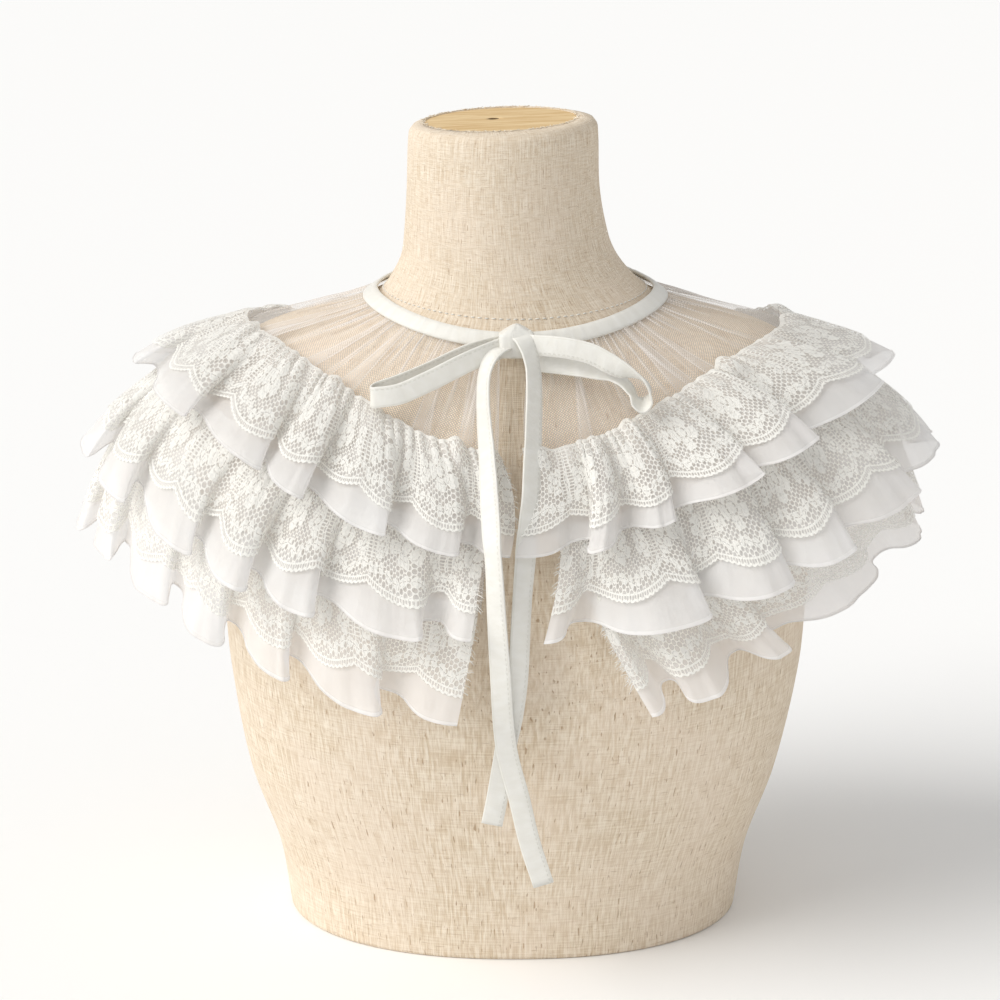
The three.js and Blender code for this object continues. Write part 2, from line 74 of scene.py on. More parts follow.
def add_studio():
    scene = bpy.context.scene
    scene.view_settings.view_transform = "Standard"
    world = bpy.data.worlds.new("studio")
    world.use_nodes = True
    sky = world.node_tree.nodes["Background"].inputs
    sky["Color"].default_value = (1, 1, 1, 1)
    sky["Strength"].default_value = SKY_STRENGTH
    scene.world = world
    daylight = bpy.data.lights.new("daylight", "SUN")
    daylight.energy, daylight.angle, daylight.color = SUN_ENERGY, SUN_SPREAD, SUN_COLOR
    light = bpy.data.objects.new("daylight", daylight)
    light.rotation_euler = SUN_DIRECTION.to_track_quat("-Z", "Y").to_euler()
    scene.collection.objects.link(light)

    mesh = bpy.data.meshes.new("floor")
    corners = [(FLOOR_HALF * x, FLOOR_HALF * y, 0) for x, y in ((-1, -1), (1, -1), (1, 1), (-1, 1))]
    mesh.from_pydata(corners, [], [(0, 1, 2, 3)])
    floor = bpy.data.objects.new("floor", mesh)
    scene.collection.objects.link(floor)
    material = bpy.data.materials.new("pale_floor")
    material.use_nodes = True
    shader = material.node_tree.nodes["Principled BSDF"]
    shader.inputs["Base Color"].default_value = FLOOR_COLOR
    shader.inputs["Roughness"].default_value = 0.9
    floor.data.materials.append(material)


# ---- Tables of the garment and the form, in millimetres ----
def table(columns, rows):
    return dict(zip(columns.split(), np.array(rows, float).T))


RING_COLUMNS = "down x y side front back z_side z_front z_back square"

# Dress form: rings from the top of the neck to the base, by the distance down its side.
FORM = table(RING_COLUMNS, [
    (0, -6.4, -6, 46, -52, 40, 423.5, 422, 425, 2),
    (4, -6.4, -6, 48.2, -54, 42, 420, 418.5, 421.5, 2),
    (35, -6.4, -6, 49.5, -55, 43.5, 389, 386, 392, 2),
    (59, -4.8, -5, 52.7, -56, 47, 365, 360, 371, 2),
    (71, -3.2, -4, 56, -57.5, 51, 354, 348, 360, 2),
    (86, -1.5, -2, 63.5, -60, 57, 342.5, 337, 350, 2),
    (96, 0, 0, 69.5, -62.5, 62, 336, 330.5, 344, 2),
    (105, 0, 0, 77, -66, 68, 331.5, 324, 338, 2),
    (160, 0, 2, 130, -94, 99, 317, 269, 287, 2),
    (213, 0, 4, 172, -112, 116, 289, 231, 248, 2),
    (234, 0, 4, 178, -119, 119, 271, 214, 228, 2.1),
    (274, 0, 2, 167, -126, 119, 237, 190, 200, 2.2),
    (321, 0, 0, 156, -130, 115, 193, 165, 168, 2.3),
    (374, 0, 0, 151.5, -129, 109, 140, 138, 138, 2.3),
    (432, -1, 0, 141.5, -110, 98, 82, 82, 82, 2.25),
    (477, -1, 0, 127, -99, 90, 38, 38, 38, 2.2),
    (516, -1, 0, 121, -93, 86, 0, 0, 0, 2.2),
])
TILT_X, TILT_Y = 0.04, 0.033  # rise of the neck's flat top along X and Y
TILT_ENDS = 59  # distance down the neck at which its rings are level from side to side
CAP = dict(x=-7.8, y=-5, half_width=39.6, half_depth=38.5, proud=0.7)
CAP_CENTRE = np.array([CAP["x"], CAP["y"]])
CAP_HALVES = np.array([CAP["half_width"], CAP["half_depth"]])
CAP_HOLE = dict(x=-3.4, y=4, radius=2.9)
STITCH_LEVEL = 94.0  # distance down the form of the stitches round its neck

# The smooth shape the cape hangs in: rings by their distance from the neck seam.
CAPE = table(RING_COLUMNS, [
    (-10, 0, 0, 71, -66, 63.6, 337.6, 326.4, 345.4, 2),
    (0, 0, 0, 79.2, -71, 70, 332.3, 318.6, 338.4, 2),
    (30, 0, 1, 109, -84, 86.5, 325.5, 295.5, 314, 2),
    (60, 0, 2, 139, -97, 102, 318, 271.5, 290, 2),
    (102, -1.5, 2, 175.5, -115, 119.5, 294, 233.5, 251, 2),
    (146, -3, 0, 200, -133, 133, 257, 193.5, 210, 2),
    (211, -6, -2, 207, -149, 144, 194, 131, 146, 2),
])
YOKE_DEPTH = 138
YOKE_FOLDS = 130
YOKE_EDGE = table("down right left", [(0, 6, -8), (60, 4.5, -9), (98, 18, -13), (136, 35, -17)])

# Each tier: its seam's distance down the cape, the power that its folds open by, their number, how far
# their valleys and crests stand out, how much lower the front corners are, and the front edges' places
# along X.
TIER_COLUMNS = (
    "seam open folds valley rise corner_seam corner_hem "
    "right_seam right_middle right_hem left_seam left_middle left_hem seed"
).split()
TIERS = {
    "1": (60, 1.15, 22, 8.5, 16.5, -10, -6, 3, 4, -1, -9, -1, -3, 0.4),
    "2": (98, 1.5, 24, 8.5, 18.5, -2, 4, 21, 20, 12, -14, -17, -21, 2.3),
    "3": (136, 1.6, 25, 5, 19, 0, -4, 36, 46, 60, -18, -22, -27, 4.1),
}
# The folds beside each tier's two front edges, from the edge outwards: the length of hem line that
# a fold takes, its height as a share of the tier's, how far its sides turn in, in radians, and how
# far its crest leans, from the right edge round towards the left one. A tier's first and last fold
# are half folds, cut off at the crest. The hidden folds between them are drawn by chance.
FOLD_COLUMNS = "width tall swing lean"
RIGHT_FOLDS = {
    "1": [(34, 0.9, 1.0, 0), (21, 1.35, 1.7, -6), (27, 0.85, 1.2, 7), (40, 1.2, 1.4, 16),
          (36, 1.35, 1.6, 17), (52, 1.25, 1.5, 23), (47, 1.0, 1.4, 18)],
    "2": [(17, 0.9, 1.2, 0), (58, 1.3, 1.4, 18), (47, 1.25, 1.5, 19), (38, 1.25, 1.6, 16),
          (50, 1.15, 1.4, 21), (45, 1.1, 1.5, 17)],
    "3": [(13, 1.2, 1.5, 0), (42, 1.25, 1.3, -6), (27, 0.9, 1.4, 8), (84, 0.65, 1.1, 10),
          (58, 0.7, 1.2, 14), (50, 0.9, 1.4, 16)],
}
LEFT_FOLDS = {
    "1": [(22, 0.75, 1.0, 0), (40, 1.3, 1.5, 13), (44, 1.2, 1.5, 18), (34, 1.35, 1.6, 15),
          (46, 1.05, 1.5, 20), (52, 1.2, 1.5, 20)],
    "2": [(19, 0.8, 1.1, 0), (60, 1.2, 1.3, 16), (34, 1.25, 1.6, 15), (40, 1.25, 1.5, 18),
          (52, 1.0, 1.4, 20), (42, 1.2, 1.6, 18)],
    "3": [(41, 0.9, 0.9, 0), (50, 1.15, 1.4, 19), (42, 1.1, 1.5, 17), (38, 1.2, 1.6, 16),
          (50, 0.9, 1.4, 19), (44, 1.0, 1.5, 17)],
}
ORGANZA_DEPTH = 50
LACE_DEPTH = 41
SCALLOP_DEPTH = 5.5
SEAM_VALLEY, SEAM_RISE = 1.8, 0.9
SAG = 0.42  # how far a crest at the front or back hangs down, as a share of its height
SIDE_SAG = 0.3
SIDE_RISE = 0.78  # how high the folds at the sides are, as a share of those at the front
VALLEY_LIFT = 2.5  # how much higher the hem is in a valley than at a crest
LACE_FILL = 2.4  # how far the lace, which is less full, stands off the organza's valleys
LACE_GAP = 1.3

RIBBON_WIDTH = 10.5
RIBBON_WALL = 1.1


# ---- Curves and surfaces through the tables ----
def between(rows, at, column):
    """One column's value between the rows, on a smooth curve through them."""
    down, value = rows["down"], rows[column]
    j = np.arange(len(down))
    before, after = np.maximum(j - 1, 0), np.minimum(j + 1, len(down) - 1)
    slope = (value[after] - value[before]) / (down[after] - down[before])
    i = np.clip(np.searchsorted(down, at) - 1, 0, len(down) - 2)
    step = down[i + 1] - down[i]
    t = (at - down[i]) / step
    u = 1 - t
    pull = t * u * step * (slope[i] * u - slope[i + 1] * t)
    return value[i] * u * u * (1 + 2 * t) + value[i + 1] * t * t * (1 + 2 * u) + pull


def ring_point(rows, down, angle):
    """Points of a lofted shape. angle runs from the front (-Y) towards +X."""
    def value(column):
        return between(rows, down, column)

    sin, cos = np.sin(angle), np.cos(angle)
    power = 2 / value("square")
    ahead = cos > 0
    y = value("y")
    reach = np.where(ahead, value("front"), value("back")) - y
    rise = np.where(ahead, value("z_front"), value("z_back")) - value("z_side")
    x = value("x") + value("side") * np.sign(sin) * np.abs(sin) ** power
    y = y + reach * np.abs(cos) ** power
    return np.stack([x, y, value("z_side") + rise * cos * cos], -1)


TURN_SHARES = np.arange(721) / 720
HEM_LEVEL = 146  # distance down the cape of the ring that the cloth is measured along


def unit(v):
    return v / np.maximum(np.linalg.norm(v, axis=-1, keepdims=True), 1e-12)


def stand_off(surface, a, b, step_a, step_b, distance):
    """Points at a distance outside surface(a, b)."""
    along = surface(a + step_a, b) - surface(a - step_a, b)
    down = surface(a, b + step_b) - surface(a, b - step_b)
    return surface(a, b) - unit(np.cross(along, down)) * np.asarray(distance)[..., None]


def form_point(angle, down):
    return ring_point(FORM, down, angle)


def cape_point(angle, down):
    return ring_point(CAPE, down, angle)


def angle_at(x, down):
    return np.arcsin((x - between(CAPE, down, "x")) / between(CAPE, down, "side"))


def lerp(a, b, t):
    return a + (b - a) * t


def bowed(a, b, c, t):
    return a * (1 - t) * (1 - 2 * t) + 4 * b * t * (1 - t) + c * t * (2 * t - 1)


def way_along(points):
    """Distance along a line of points, from its first."""
    return np.concatenate([[0], np.cumsum(np.linalg.norm(np.diff(points, axis=0), axis=-1))])


def way_round(down):
    """Distance along the cape's ring at a height, from the front middle, for even parts of the turn."""
    angle = angle_at(0.0, down) + TAU * TURN_SHARES
    return way_along(cape_point(angle, np.full_like(angle, down)))


def turn(share):
    """Share of the turn at a share of the way round, evenly spaced along the cloth."""
    return np.interp(np.clip(share, 0, 1) * HEM_WAY[-1], HEM_WAY, TURN_SHARES)


HEM_WAY = way_round(HEM_LEVEL)


def smoothstep(low, high, x):
    t = np.clip((x - low) / (high - low), 0, 1)
    return t * t * (3 - 2 * t)


def wander(x, seed, octaves=4):
    """Smooth uneven curve of x, from about -1 to 1, that never repeats."""
    total = np.zeros_like(np.asarray(x, float))
    for k in range(octaves):
        total += np.sin(x * (1 + 0.618 * k) * (1 + 0.37 * k) + seed * (3.1 + 1.7 * k)) / (1 + 0.6 * k)
    return total / 1.9


# ---- Meshes ----
def new_object(name, vertices, faces, material):
    mesh = bpy.data.meshes.new(name)
    mesh.from_pydata((np.asarray(vertices).reshape(-1, 3) * MM).tolist(), [], faces)
    mesh.polygons.foreach_set("use_smooth", [True] * len(mesh.polygons))
    mesh.materials.append(material)
    mesh.update()
    piece = bpy.data.objects.new(name, mesh)
    bpy.context.scene.collection.objects.link(piece)
    return piece


def grid_faces(columns, rows, wrap_columns=False, wrap_rows=False):
    """Quads of a grid of columns x rows points, numbered column by column."""
    i = np.arange(columns if wrap_columns else columns - 1)
    j = np.arange(rows if wrap_rows else rows - 1)
    i, j = np.meshgrid(i, j, indexing="ij")
    i2, j2 = (i + 1) % columns, (j + 1) % rows
    return np.stack([i * rows + j, i * rows + j2, i2 * rows + j2, i2 * rows + j], -1).reshape(-1, 4).tolist()


def shell_faces(columns, rows, around):
    """Faces of a shell that closes on itself round its columns or its rows, with flat ends the other way."""
    count = columns * rows
    if around == "columns":
        ends = [list(range(rows - 1, count, rows))[::-1], list(range(0, count, rows))]
    else:
        ends = [list(range(rows))[::-1], list(range(count - rows, count))]
    return grid_faces(columns, rows, around == "columns", around == "rows") + ends


def across_rows(values, rows):
    """The same value in every row of a column."""
    return np.repeat(np.asarray(values)[:, None], rows, 1)


def down_columns(values, columns):
    """The same value in every column of a row."""
    return np.repeat(np.asarray(values)[None], columns, 0)


def declare(piece, solid=None):
    """Parents a piece to its body, and hides the solid that it stands for."""
    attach(piece, BODY)
    if solid:
        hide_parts(solid)


def set_uv(piece, u, v, girth=None):
    """Cloth coordinates in metres, by vertex. Round a closed piece of this girth, each face's corners
    stay on the same side of the seam."""
    mesh = piece.data
    layer = mesh.uv_layers.new(name="cloth")
    index = np.empty(len(mesh.loops), np.int32)
    mesh.loops.foreach_get("vertex_index", index)
    uv = np.stack([np.ravel(u)[index], np.ravel(v)[index]], -1)
    if girth:
        starts = np.array([face.loop_start for face in mesh.polygons])
        sizes = np.diff(np.append(starts, len(index)))
        highest = np.repeat(np.maximum.reduceat(uv[:, 0], starts), sizes)
        uv[:, 0] += girth * (highest - uv[:, 0] > girth / 2)
    layer.data.foreach_set("uv", (uv * MM).ravel().astype(np.float32))


def set_weight(piece, name, values):
    layer = piece.data.attributes.new(name, "FLOAT", "POINT")
    layer.data.foreach_set("value", np.ravel(values).astype(np.float32))


def cloth_grid(name, points, u, v, material):
    """An open sheet through a grid of points, with its cloth coordinates."""
    columns, rows = points.shape[:2]
    piece = new_object(name, points, grid_faces(columns, rows), material)
    set_uv(piece, u, v)
    return piece


def tubes(name, paths, radius, sides, material):
    """Thin round threads along paths, joined in one piece."""
    vertices, faces = [], []
    for path in paths:
        path = np.asarray(path, float)
        along = unit(np.gradient(path, axis=0))
        side = unit(np.cross(along, np.array([0.31, 0.22, 0.92])))
        up = np.cross(side, along)
        angle = TAU * np.arange(sides)[None, :, None] / sides
        ring = path[:, None] + radius * (np.cos(angle) * side[:, None] + np.sin(angle) * up[:, None])
        first = len(vertices)
        vertices += ring.reshape(-1, 3).tolist()
        faces += [[first + k for k in face][::-1] for face in shell_faces(len(path), sides, "rows")]
    return new_object(name, vertices, faces, material)


# ---- Shader arithmetic ----
def feed(node, inputs):
    """Sets a node's inputs, by name or number, or links them to fields and sockets."""
    for name, value in dict(inputs).items():
        slot = node.inputs[name]
        value = getattr(value, "socket", value)
        if isinstance(value, bpy.types.NodeSocket):
            node.id_data.links.new(value, slot)
        else:
            slot.default_value = (*value, 1) if slot.type == "RGBA" else value


def add_node(tree, kind, inputs=(), **settings):
    node = tree.nodes.new(kind)
    for name, value in settings.items():
        setattr(node, name, value)
    feed(node, inputs)
    return node


class Field:
    """A number that varies over a surface. Arithmetic on it adds Math nodes."""

    def __init__(self, socket):
        self.socket = socket

    def result(self, kind, inputs, **settings):
        return Field(add_node(self.socket.id_data, kind, inputs, **settings).outputs[0])

    def math(self, operation, *others):
        return self.result("ShaderNodeMath", enumerate((self, *others)), operation=operation)

    __add__ = __radd__ = partialmethod(math, "ADD")
    __sub__ = partialmethod(math, "SUBTRACT")
    __mul__ = __rmul__ = partialmethod(math, "MULTIPLY")
    __abs__ = partialmethod(math, "ABSOLUTE")
    sin = partialmethod(math, "SINE")
    cos = partialmethod(math, "COSINE")
    at_least = partialmethod(math, "MAXIMUM")
    at_most = partialmethod(math, "MINIMUM")

    def __rsub__(self, other):
        return self.math("MULTIPLY", -1.0).math("ADD", other)

    def wrapped(self, period):
        """The number modulo a period, from minus half of it to half of it."""
        return self.math("WRAP", period / 2, -period / 2)

    def ramp(self, low, high, start=0.0, end=1.0):
        """start below low, end above high, and smooth between them."""
        inputs = {"Value": self, "From Min": low, "From Max": high, "To Min": start, "To Max": end}
        return self.result("ShaderNodeMapRange", inputs, interpolation_type="SMOOTHSTEP")

    def near(self, half, soft):
        """1 where the number is within half of zero, and 0 further than soft beyond that."""
        return abs(self).ramp(half, half + soft, 1.0, 0.0)


# A mix node's inputs and output for colors.
MIX_FACTOR, MIX_A, MIX_B, MIX_RESULT = 0, 6, 7, 2


class Cloth:
    """A new material with a Principled shader and the fields that its pattern is made of."""

    def __init__(self, name, color, roughness, sheen=0.0):
        self.material = bpy.data.materials.new(name)
        self.material.use_nodes = True
        self.tree = self.material.node_tree
        self.shader = self.tree.nodes["Principled BSDF"]
        self.set("Base Color", color)
        self.set("Roughness", roughness)
        self.set("Sheen Weight", sheen)
        self.set("Specular IOR Level", 0.25)

    def set(self, name, value):
        """Sets one of the shader's inputs, or links it to a field or socket."""
        feed(self.shader, {name: value})

    def node(self, kind, inputs=(), **settings):
        return add_node(self.tree, kind, inputs, **settings)

    def cloth_mm(self):
        """Distance along and down the cloth, in millimetres."""
        x, y = self.split(self.uv_vector())
        return x * (1 / MM), y * (1 / MM)

    def split(self, vector):
        outputs = self.node("ShaderNodeSeparateXYZ", {0: vector}).outputs
        return Field(outputs[0]), Field(outputs[1])

    def noise(self, scale, detail=2.0, rough=0.5, vector=None, stretch=None):
        """Noise from 0 to 1 over the object at rest, in metres, or over other coordinates."""
        vector = vector or self.node("ShaderNodeTexCoord").outputs["Object"]
        if stretch:
            vector = self.node("ShaderNodeMapping", {"Vector": vector, "Scale": stretch}).outputs[0]
        inputs = {"Vector": vector, "Scale": scale, "Detail": detail, "Roughness": rough}
        return Field(self.node("ShaderNodeTexNoise", inputs).outputs["Fac"])

    def threads(self, along, down, detail=2.0, rough=0.5):
        """Noise from 0 to 1 over the cloth, with its own scale along it and down it."""
        return self.noise(1, detail, rough, self.uv_vector(), (along, down, 1))

    def drift(self, scale):
        """Two fields of smooth noise along the cloth, from about -0.3 to 0.3."""
        inputs = {"Vector": self.uv_vector(), "Scale": scale, "Detail": 1.0}
        x, y = self.split(self.node("ShaderNodeTexNoise", inputs).outputs["Color"])
        return x - 0.5, y - 0.5

    def weight(self, name):
        return Field(self.node("ShaderNodeAttribute", attribute_name=name).outputs["Fac"])

    def uv_vector(self):
        return self.node("ShaderNodeUVMap", uv_map="cloth").outputs[0]

    def mix_color(self, field, color_0, color_1):
        inputs = {MIX_FACTOR: field, MIX_A: color_0, MIX_B: color_1}
        return self.node("ShaderNodeMix", inputs, data_type="RGBA").outputs[MIX_RESULT]

    def color(self, socket):
        self.set("Base Color", socket)

    def bump(self, field, height_mm, strength=1.0):
        inputs = {"Strength": strength, "Distance": height_mm * MM, "Height": field}
        self.set("Normal", self.node("ShaderNodeBump", inputs).outputs[0])

    def let_light_through(self, share, color, cover=None):
        """Mixes light that comes through the threads with the shader, both with the same holes."""
        through = self.node("ShaderNodeBsdfTranslucent", {"Color": color})
        if cover is not None:
            through = self.mix_shaders(cover, self.node("ShaderNodeBsdfTransparent"), through)
        mix = self.mix_shaders(share, self.shader, through)
        feed(self.tree.nodes["Material Output"], {"Surface": mix.outputs[0]})

    def mix_shaders(self, share, first, second):
        return self.node("ShaderNodeMixShader", {0: share, 1: first.outputs[0], 2: second.outputs[0]})


LINEN_THREAD = 0.9  # mm from thread to thread
TWILL_THREAD = 0.55
STITCH_LENGTH = 2.5
NET_PITCH = 1.3
LACE_PITCH = 2.3
SCALLOP_REPEAT = 58.0  # mm of cloth in one scallop of the lace
ORGANZA_HEM = 1.2


def linen_material():
    """Unbleached linen: a fine plain weave with short slubs, and a few dark flecks."""
    cloth = Cloth("linen", (0.8, 0.68, 0.52), 0.9)
    u, v = cloth.cloth_mm()
    drift = cloth.threads(70, 70, 1) * 1.5
    warp = ((u + drift) * (TAU / LINEN_THREAD)).sin()
    weft = ((v + drift) * (TAU / LINEN_THREAD)).sin()
    # Slubs: noise stretched along the threads one way and the other.
    warp_slub = cloth.threads(1000, 75, rough=0.6)
    weft_slub = cloth.threads(75, 1050, rough=0.6)
    tone = warp_slub * 0.66 + weft_slub * 0.34 + warp * weft * 0.03
    base = cloth.mix_color(tone.ramp(0.33, 0.67), (0.66, 0.53, 0.38), (0.90, 0.805, 0.67))
    blotch = cloth.noise(18, 2)
    base = cloth.mix_color(blotch.ramp(0.35, 0.75, 0.0, 0.4), base, (0.87, 0.745, 0.62))
    # Short dark flecks along the warp, and fewer along the weft.
    fleck = cloth.threads(950, 125, 1).ramp(0.675, 0.72)
    weft_fleck = cloth.threads(125, 1000, 1).ramp(0.69, 0.74)
    base = cloth.mix_color(fleck.at_least(weft_fleck * 0.6) * 0.7, base, (0.40, 0.26, 0.15))
    cloth.color(base)
    cloth.bump(warp * 0.15 + weft * 0.15 + warp_slub * 1.2 + weft_slub * 1.2, 0.3, 0.8)
    return cloth.material


def wood_material():
    """Bare pale plywood, with faint grain, and painted shade: the bored hole's wall is mixed nearly to black.
    """
    cloth = Cloth("bare_wood", (0.8, 0.6, 0.35), 0.62)
    grain = cloth.noise(9, 4, 0.6, stretch=(3, 42, 3))
    fine = cloth.noise(60, 3, 0.7, stretch=(2, 20, 2))
    tone = (grain * 0.7 + fine * 0.3).ramp(0.36, 0.66)
    base = cloth.mix_color(tone, (0.61, 0.40, 0.175), (0.81, 0.62, 0.355))
    # Painted shade: the hole's wall rings are mixed nearly to black, for the shade inside the hole.
    cloth.color(cloth.mix_color(cloth.weight("bore_painted_dark") * 0.93, base, (0.10, 0.055, 0.02)))
    cloth.bump(fine, 0.15, 0.5)
    return cloth.material


def satin_material():
    """Ivory bias ribbon: a fine twill, a little slack in it, a row of stitches near one edge, and painted
    shade along both folded edges.
    """
    cloth = Cloth("ivory_satin", (0.93, 0.925, 0.87), 0.42, 0.2)
    u, v = cloth.cloth_mm()
    twill = ((u + v) * (TAU / TWILL_THREAD)).sin()
    slack = cloth.threads(150, 260)
    stitch = (u - 3.7).near(0.16, 0.16) * (v * (TAU / STITCH_LENGTH)).sin().ramp(-0.3, 0.2)
    base = cloth.mix_color(slack.ramp(0.3, 0.75), (0.865, 0.85, 0.795), (0.905, 0.895, 0.85))
    # Painted shade: crease is a darker line near each folded edge, standing in for the shade there; the same
    # dark colour also marks the real stitches.
    crease = (abs(u) - 4.4).near(0.12, 0.3)
    cloth.color(cloth.mix_color(stitch.at_least(crease * 0.7) * 0.5, base, (0.74, 0.72, 0.64)))
    cloth.bump(twill * 0.05 + slack * 1.2 - stitch * 0.9, 0.4, 0.7)
    cloth.let_light_through(0.1, (0.9, 0.88, 0.8))
    return cloth.material


def hexagons(u, v, pitch):
    """3 in the middle of each cell of a hexagonal net, and down to -1.5 on its threads."""
    half = u * (math.pi / pitch)
    slant = v * (TAU / pitch * 0.866)
    return (half * 2).cos() + (half + slant).cos() + (half - slant).cos()


def net_material():
    """Sheer tulle: hexagonal holes about a millimetre wide, denser where it is doubled."""
    cloth = Cloth("sheer_net", (0.875, 0.845, 0.82), 0.8)
    u, v = cloth.cloth_mm()
    threads = hexagons(u, v, NET_PITCH).ramp(-0.4, 0.7, 1.0, 0.0)
    cover = (threads * 0.30 + cloth.weight("fold") * 0.7 + 0.05).at_most(0.95)
    cloth.set("Alpha", cover)
    cloth.bump(threads, 0.2, 0.5)
    cloth.let_light_through(0.25, (0.92, 0.89, 0.86), cover)
    return cloth.material


def organza_material():
    """Crisp sheer organza with a narrow bright hem."""
    cloth = Cloth("crisp_organza", (0.93, 0.92, 0.915), 0.45)
    v = cloth.cloth_mm()[1]
    hem = v.ramp(ORGANZA_DEPTH - ORGANZA_HEM, ORGANZA_DEPTH - ORGANZA_HEM + 0.3)
    cloudy = cloth.noise(30, 2)
    cover = (cloudy * 0.16 + hem * 0.25 + 0.68).at_most(0.97)
    cloth.set("Alpha", cover)
    cloth.color(cloth.mix_color(cloudy.ramp(0.35, 0.7), (0.915, 0.895, 0.885), (0.94, 0.935, 0.935)))
    crease = cloth.threads(75, 28, rough=0.6)
    cloth.bump(crease + hem * 0.15, 1.6, 0.55)
    cloth.let_light_through(0.35, (0.94, 0.93, 0.92), cover)
    return cloth.material


def lace_material():
    """Scalloped floral net lace: see lace_cover for its pattern."""
    cloth = Cloth("floral_lace", (0.93, 0.92, 0.87), 0.8)
    u, v = cloth.cloth_mm()
    cover, motif, net = lace_cover(cloth, u, v)
    cloth.set("Alpha", cover)
    cloth.color(cloth.mix_color(motif, (0.92, 0.91, 0.87), (0.95, 0.945, 0.905)))
    cloth.bump(net, 0.25, 0.7)
    cloth.let_light_through(0.25, (0.95, 0.94, 0.90), cover)
    return cloth.material


def thread_material(name, dark, light):
    """Loose threads, with an uneven spin."""
    cloth = Cloth(name, light, 0.85)
    cloth.color(cloth.mix_color(cloth.noise(900, 1).ramp(0.35, 0.65), dark, light))
    return cloth.material


def flower(x, y, radius, petals, turned=0.0):
    """Coverage of a flower: broad petals, parted by gaps, round an open ring and an eye."""
    far = (x * x + y * y).math("SQRT")
    petal = abs((y.math("ARCTAN2", x) * (petals / 2) + turned).sin())
    beyond = far - petal.ramp(0.0, 0.75, 0.55, 1.0) * radius
    ring = (far - radius * 0.32).near(0.3, 0.4)
    split = petal.ramp(0.04, 0.2, 1.0, 0.0) * far.ramp(radius * 0.35, radius * 0.5)
    inner = (beyond + radius * 0.34).near(0.15, 0.5) * 0.45
    return beyond.ramp(-0.35, 0.35, 1.0, 0.0) * (1 - ring.at_least(inner).at_least(split) * 0.8)


def lace_cover(cloth, u, v):
    """How much of the surface the lace's threads cover, how much of it is dense motif, and its net."""
    repeat = SCALLOP_REPEAT
    inside = abs((u * (math.pi / repeat)).cos()) * SCALLOP_DEPTH + (LACE_DEPTH - SCALLOP_DEPTH) - v
    drift_x, drift_y = cloth.drift(85)
    x = (u + drift_x * 7).wrapped(repeat)
    y = v + drift_y * 6
    side = abs(x)
    net = hexagons(u + drift_x * 2, v + drift_y * 2, LACE_PITCH).ramp(-1.05, 0.0, 1.0, 0.0)

    # The scalloped border: two cords with rungs between them.
    picot = (u * (TAU / 3.3)).sin() * 0.3
    cords = (inside - 0.7 + picot).near(0.42, 0.25).at_least((inside - 3.0).near(0.36, 0.25))
    rungs = (u * (TAU / 1.65)).sin().ramp(-0.1, 0.5) * (inside - 1.9).near(1.0, 0.2)
    border_zone = (inside - 1.7).near(1.6, 0.15)

    # A garland of leaves along it, a rose in each scallop and smaller flowers beside it.
    garland_way = u + drift_y * 6
    garland = inside - 8.6 + (garland_way * (TAU / 19)).sin() * 1.5
    leaf = abs((garland_way * (math.pi / 5.2)).sin()) * 2.6
    leaves = (abs(garland) - leaf).ramp(-0.25, 0.3, 0.96, 0.0) * (1 - garland.near(0.1, 0.22) * 0.6)
    rose = flower(x + 2.5, y - 16.0, 10.6, 5, 0.4)
    small = flower(side - 20.5, y - 18.0, 7.2, 5, 1.1)
    bud = flower(side - 14.0, y - 6.0, 4.4, 4, 0.2)
    motif = leaves.at_least(rose).at_least(small).at_least(bud)

    # A ladder stripe runs down from the seam at each cusp.
    rail = side - repeat / 2 + 2.4
    rails = (abs(rail) - 1.7).near(0.3, 0.2)
    ladder_rungs = (v * (TAU / 1.7)).sin().ramp(0.1, 0.5) * rail.near(1.5, 0.2)
    ladder_zone = rail.near(2.0, 0.1) * v.ramp(24, 27, 1.0, 0.0)
    stripes = rails.at_least(ladder_rungs)

    ground = net.at_least(motif)
    ground = ground + (stripes - ground) * ladder_zone
    border = cords.at_least(rungs)
    cover = ground + (border - ground) * border_zone
    cover = cover.at_least(v.ramp(0.8, 2.2, 0.95, 0.0))
    cover = (cover + (1 - cover) * cloth.weight("gather") * 0.9).at_most(1.0)
    dense = motif.at_least(cords * border_zone).at_least(rails * ladder_zone)
    return cover, dense, net


# ---- Dress form ----
def neck_tilt(points, down):
    tilt = TILT_X * np.maximum(0, 1 - down / TILT_ENDS)
    points[..., 2] += tilt * (points[..., 0] - CAP["x"])
    return points


def build_form(linen):
    segments = 160
    downs = np.concatenate([[0, 0.7, 1.6, 2.8], np.arange(4, 510, 4), [510, 513, 515]])
    angle = math.pi + TAU * np.arange(segments) / segments
    grid_angle, grid_down = np.meshgrid(angle, downs, indexing="ij")
    points = neck_tilt(form_point(grid_angle, grid_down), grid_down)
    girth = np.linalg.norm(np.roll(points, -1, 0) - points, axis=-1).sum(0).mean()
    # The linen turns in over the wood at the top, with a slightly uneven raw edge, and under at the base.
    rng = np.random.default_rng(11)
    fray = 0.7 + 0.25 * rng.random(segments)
    rim = points[:, 0]
    inner = rim.copy()
    inner[:, :2] = CAP_CENTRE + cap_circle(angle) * CAP_HALVES - unit(rim[:, :2] - CAP_CENTRE) * fray[:, None]
    inner[:, 2] = cap_height(inner) + 0.35
    under = inner - [0, 0, 1.6]
    half_in = lerp(rim, inner, 0.5) + [0, 0, 0.25]
    base = form_point(angle, np.full(segments, FORM["down"][-1])) * [0.99, 0.99, 1]
    points = np.concatenate([under[:, None], inner[:, None], half_in[:, None], points, base[:, None]], 1)
    v = np.concatenate([[-7.5, -6, -3], downs, [517]])
    rows = len(v)
    piece = new_object("linen_form", points, shell_faces(segments, rows, "columns"), linen)
    u = np.arange(segments) / segments * girth
    set_uv(piece, across_rows(u, rows), down_columns(v, segments), girth)
    declare(piece, "form_torso")


